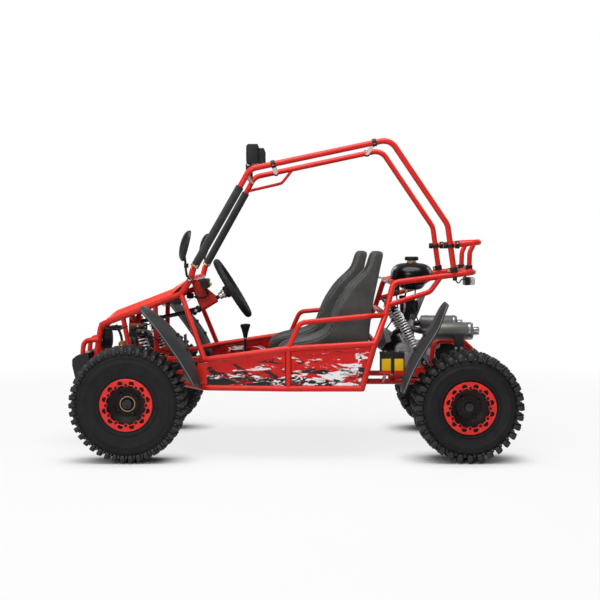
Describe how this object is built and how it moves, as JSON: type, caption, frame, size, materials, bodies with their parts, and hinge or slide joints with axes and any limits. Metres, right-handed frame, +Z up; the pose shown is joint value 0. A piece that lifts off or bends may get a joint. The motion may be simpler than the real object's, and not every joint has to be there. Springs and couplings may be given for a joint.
{
  "type": "two-seat off-road dune buggy",
  "caption": "Two-seat tube-frame off-road buggy with roll cage, knobbly tyres, bucket seats, open rear engine, steering linkage and turning wheels",
  "frame": {"origin": "centre of the footprint box, on the ground", "axes": "+X forward, +Y to the vehicle's left, +Z up"},
  "size_m": [1.9216, 1.106, 1.3465],
  "materials": {
    "red_frame": "gloss red powder coat",
    "red_panel": "gloss red paint with a plain splash pattern",
    "bright_tube": "satin silver tube",
    "black_plastic": "matte moulded black",
    "pan": "satin black sheet",
    "lamp_black": "matte black housing",
    "foam": "closed cell foam sleeve",
    "vinyl": "dark grey vinyl",
    "spring_silver": "silver coil springs",
    "engine_grey": "cast grey casings",
    "muffler_black": "satin heat paint",
    "tank_black": "gloss black moulding",
    "steel": "plated steel",
    "lamp_clear": "pale translucent lens",
    "grip_black": "thick moulded grip",
    "black_steel": "satin black",
    "tyre": "black tread rubber",
    "rim_black": "satin black with a red clamp ring"
  },
  "bodies": {
    "chassis": {"battery": "black_plastic", "carburettor": "engine_grey", "chain": "steel", "engine": "engine_grey", "floor_pan": "pan", "front_arms": "red_frame", "front_frame": "red_frame", "front_mudguards": "black_plastic", "front_shocks": "spring_silver", "fuel_tank": "tank_black", "gear_lever": "black_plastic", "headlamp": "lamp_black", "hood": "red_panel", "light_bar": "lamp_black", "lower_frame": "red_frame", "mirrors": "black_plastic", "mufflers": "muffler_black", "nose_guard": "black_plastic", "pedals": "steel", "pillar_foam": "foam", "rear_frame": "red_frame", "rear_mudguards": "black_plastic", "rear_rack": "red_frame", "rear_shocks": "spring_silver", "roll_cage": "red_frame", "roof_bars": "bright_tube", "seats": "vinyl", "side_panels": "red_panel", "side_rails": "red_frame", "swing_arm": "red_frame", "tail_lamp": "lamp_clear"},
    "steering_wheel": {"steering_wheel": "grip_black"},
    "steering_shaft": {"steering_shaft": "black_steel"},
    "pitman_arm": {"pitman_arm": "black_steel"},
    "tie_rod_left": {"tie_rod_left": "steel"},
    "tie_rod_right": {"tie_rod_right": "steel"},
    "knuckle_left": {"knuckle_left": "black_steel"},
    "knuckle_right": {"knuckle_right": "black_steel"},
    "front_wheel_left": {"front_tyre_left": "tyre", "front_rim_left": "rim_black"},
    "front_wheel_right": {"front_tyre_right": "tyre", "front_rim_right": "rim_black"},
    "rear_axle": {"rear_axle": "steel", "rear_tyres": "tyre", "rear_rims": "rim_black"}
  },
  "joints": [
    {"name": "steering_wheel_turn", "type": "hinge", "parent": "chassis", "child": "steering_wheel", "pos_m": [0.2758, 0.21, 0.692], "axis": [0.8526, 0, -0.5225], "range_deg": [-75, 75]},
    {"name": "steering_shaft_turn", "type": "hinge", "parent": "chassis", "child": "steering_shaft", "pos_m": [0.40967, 0.21, 0.60997], "axis": [0.7961, -0.5782, -0.1789], "range_deg": [-75, 75]},
    {"name": "pitman_turn", "type": "hinge", "parent": "chassis", "child": "pitman_arm", "pos_m": [0.6988, 0, 0.405], "axis": [0, 0, 1], "range_deg": [-25, 25]},
    {"name": "kingpin_left", "type": "hinge", "parent": "chassis", "child": "knuckle_left", "pos_m": [0.6678, 0.41, 0.241], "axis": [0, 0, 1], "range_deg": [-25, 25]},
    {"name": "kingpin_right", "type": "hinge", "parent": "chassis", "child": "knuckle_right", "pos_m": [0.6678, -0.41, 0.241], "axis": [0, 0, 1], "range_deg": [-25, 25]},
    {"name": "tie_rod_left_pivot", "type": "hinge", "parent": "pitman_arm", "child": "tie_rod_left", "pos_m": [0.6388, 0, 0.405], "axis": [0, 0, 1], "range_deg": [-25, 25]},
    {"name": "tie_rod_right_pivot", "type": "hinge", "parent": "pitman_arm", "child": "tie_rod_right", "pos_m": [0.6388, 0, 0.405], "axis": [0, 0, 1], "range_deg": [-25, 25]},
    {"name": "front_left_spin", "type": "hinge", "parent": "knuckle_left", "child": "front_wheel_left", "pos_m": [0.6678, 0.46, 0.241], "axis": [0, 1, 0], "continuous": true},
    {"name": "front_right_spin", "type": "hinge", "parent": "knuckle_right", "child": "front_wheel_right", "pos_m": [0.6678, -0.46, 0.241], "axis": [0, 1, 0], "continuous": true},
    {"name": "rear_axle_spin", "type": "hinge", "parent": "chassis", "child": "rear_axle", "pos_m": [-0.7322, 0, 0.2286], "axis": [0, 1, 0], "continuous": true}
  ],
  "couplings": [
    {"joint": "steering_shaft_turn", "follows": "steering_wheel_turn", "ratio": 1},
    {"joint": "pitman_turn", "follows": "steering_wheel_turn", "ratio": -0.33333},
    {"joint": "kingpin_left", "follows": "steering_wheel_turn", "ratio": -0.33333},
    {"joint": "kingpin_right", "follows": "steering_wheel_turn", "ratio": -0.33333},
    {"joint": "tie_rod_left_pivot", "follows": "steering_wheel_turn", "ratio": 0.33333},
    {"joint": "tie_rod_right_pivot", "follows": "steering_wheel_turn", "ratio": 0.33333}
  ]
}
